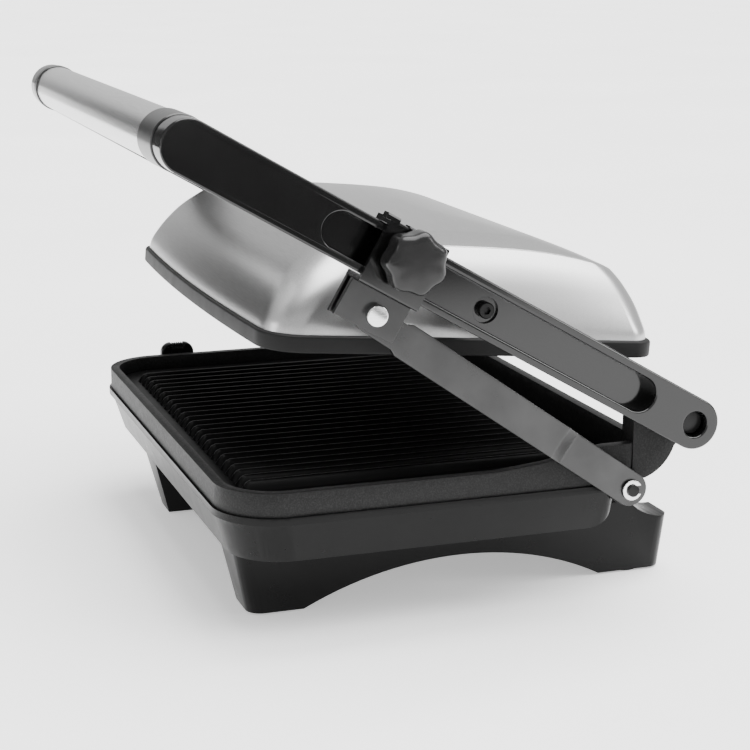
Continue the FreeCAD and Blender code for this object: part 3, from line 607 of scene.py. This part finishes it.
def knob():
    """Seven soft lobes, a chamfered rim and a slightly domed face, in the knob's frame."""
    low, high = reach_across("clamp_knob")
    work = bmesh.new()
    # distance from the middle plane, and share of the full radius
    profile = [(low, 0.8), (low + 2.2, 0.8), (low + 2.6, 0.9), (low + 3.6, 0.985), (low + 5, 1.0),
               (high - 4.2, 1.0), (high - 2.8, 0.985), (high - 1.8, 0.95), (high - 1.1, 0.9),
               (high - 0.6, 0.82), (high - 0.3, 0.7), (high - 0.1, 0.45), (high, 0.15)]
    rings = []
    for x, scale in profile:
        ring = []
        for k in range(KNOB_STEPS):
            a = 2 * math.pi * k / KNOB_STEPS
            # the middle of the face is round
            wave = KNOB_RADIUS + KNOB_WAVE * math.cos(KNOB_LOBES * a) * (1 if scale > 0.6 else 0)
            ring.append((x, wave * scale * math.cos(a), wave * scale * math.sin(a)))
        rings.append(ring)
    loft(work, rings)
    return piece("clamp_knob", work, KNOB, smooth=45)


knob()

# ------------------------------------------------------------------ socket screws of the lid's pivot
def socket_screw(label, side):
    """A screw with a cylindrical head and a hexagonal socket."""
    low, high = reach_across("lid_pivot_screw_" + label)
    seat, head, shank, socket, depth = high - 3.4, 3.8, 2.5, 1.9, 1.7
    profile = ((low, shank - 0.3, False), (low + 0.3, shank, False), (seat, shank, False),
               (seat, head, False), (high - 0.4, head, False), (high, head - 0.4, False),
               (high, socket, True), (high - depth, socket, True))
    work = bmesh.new()
    rings = []
    for x, radius, hexagonal in profile:
        ring = []
        for k in range(48):
            a = 2 * math.pi * k / 48
            across = radius
            if hexagonal:
                from_flat = (a + math.pi / 6) % (math.pi / 3) - math.pi / 6
                across = radius * math.cos(math.pi / 6) / math.cos(from_flat)
            ring.append((side * x, -LID_PIVOT + across * math.cos(a), across * math.sin(a)))
        rings.append(ring)
    loft(work, rings)
    return piece("lid_pivot_screw_" + label, work, ARM)


for label, side in SIDES:
    socket_screw(label, side)

# ------------------------------------------------------------------ pieces that keep their CAD form
# width of the rounded edge of each, in millimetres
SOFTENED = {"lower_rim": 0.9, "base_shell": 1.2, "base_skirt": 1.4, "clamp_pin": 0.6, "link_pin": 0.3,
            "link_retaining_clip": 0.2, "latch_lugs": 0.5,
            "lid_hinge_bracket_right": 0.6, "lid_hinge_bracket_left": 0.6,
            "rubber_feet": 0.3, "clamp_nut": 0.5, "arm_spacer_right": 0.5, "arm_spacer_left": 0.5,
            "arm_pivot_bolt_right": 0.4, "arm_pivot_bolt_left": 0.4, "bottom_cover": 0.3,
            "cord_gland": 0.5}
for name, width in SOFTENED.items():
    softened(name, width)

for name, obj in nodes.items():
    if not obj.hide_render:
        for i in range(len(obj.data.materials)):
            obj.data.materials[i] = FINISHES[slots[name]]


# ------------------------------------------------------------------ floor, light and camera
# black cards outside the view, which show only as reflections: one that the front half of the arm
# mirrors, and one for the lid's front. Each has a place, a size and a turn in degrees
CARDS = (("floor_card", (2.6, 0.4, 0.004), (3.3, 3.0), (0, 0, 0)),
         ("lid_card", (-1.2, -1.0, 0.65), (1.5, 1.2), (90, 0, -50)))
# small lamps: place, size, power
LAMPS = (("rear_strip", (1.2, 1.5, 0.8), 0.5, 10), ("front", (0.2, -1.6, 0.5), 0.5, 3))
SUN_STRENGTH, SUN_SPREAD, SKY_STRENGTH, FLOOR_GLOW = 8.0, 70, 0.9, 0.5
CAMERA_YAW, CAMERA_PITCH, FOCAL_LENGTH, SENSOR = 19.08, 13.46, 88.2, 36
# the camera's place: right of the middle plane, in front of the arms' pivot, above the floor
CAMERA_RIGHT, CAMERA_AHEAD, CAMERA_UP = 0.91981, 0.42018, 0.32435


def studio():
    floor = Nodes("floor")
    floor.colour(floor.noise(3), (0.86,) * 3, (0.9,) * 3)
    floor.roughness(floor.noise(8), 0.8, 0.9)
    floor.shader.inputs["Emission Color"].default_value = (1, 1, 1, 1)
    floor.shader.inputs["Emission Strength"].default_value = FLOOR_GLOW
    bpy.ops.mesh.primitive_plane_add(size=30)
    plane = bpy.context.object
    plane.name = "floor"
    plane.data.materials.append(floor.material)
    card = Nodes("card")
    card.colour(card.noise(3), (0.002,) * 3, (0.004,) * 3)
    for name, place, size, turn in CARDS:
        rotation = [math.radians(angle) for angle in turn]
        bpy.ops.mesh.primitive_plane_add(size=1, location=place, rotation=rotation)
        flag = bpy.context.object
        flag.name = name
        flag.scale = (*size, 1)
        flag.data.materials.append(card.material)
        flag.visible_camera = flag.visible_diffuse = flag.visible_shadow = False
    world = bpy.data.worlds.new("studio")
    world.use_nodes = True
    sky = world.node_tree.nodes["Background"]
    sky.inputs["Color"].default_value = (1, 1, 1, 1)
    sky.inputs["Strength"].default_value = SKY_STRENGTH
    bpy.context.scene.world = world
    sun = bpy.data.lights.new("overhead", "SUN")
    sun.energy, sun.angle = SUN_STRENGTH, math.radians(SUN_SPREAD)
    overhead = bpy.data.objects.new("overhead", sun)
    overhead.rotation_euler = (math.radians(-18), math.radians(8), 0)
    bpy.context.scene.collection.objects.link(overhead)
    aim = Vector((0, 0, 0.12))
    for name, place, width, power in LAMPS:
        light = bpy.data.lights.new(name, "AREA")
        light.size, light.energy = width, power
        lamp = bpy.data.objects.new(name, light)
        lamp.location = place
        lamp.visible_camera = False
        lamp.rotation_euler = (aim - Vector(place)).to_track_quat("-Z", "Y").to_euler()
        bpy.context.scene.collection.objects.link(lamp)


def camera():
    yaw, pitch = math.radians(CAMERA_YAW), math.radians(CAMERA_PITCH)
    lens = bpy.data.cameras.new("camera")
    lens.lens, lens.sensor_width = FOCAL_LENGTH, SENSOR
    view = bpy.data.objects.new("camera", lens)
    view.location = (middle_x + CAMERA_RIGHT, arm_pivot.y - CAMERA_AHEAD, CAMERA_UP)
    forward = Vector((-math.cos(yaw) * math.cos(pitch), math.sin(yaw) * math.cos(pitch),
                      -math.sin(pitch)))
    view.rotation_euler = forward.to_track_quat("-Z", "Y").to_euler()
    bpy.context.scene.collection.objects.link(view)
    bpy.context.scene.camera = view


studio()
camera()
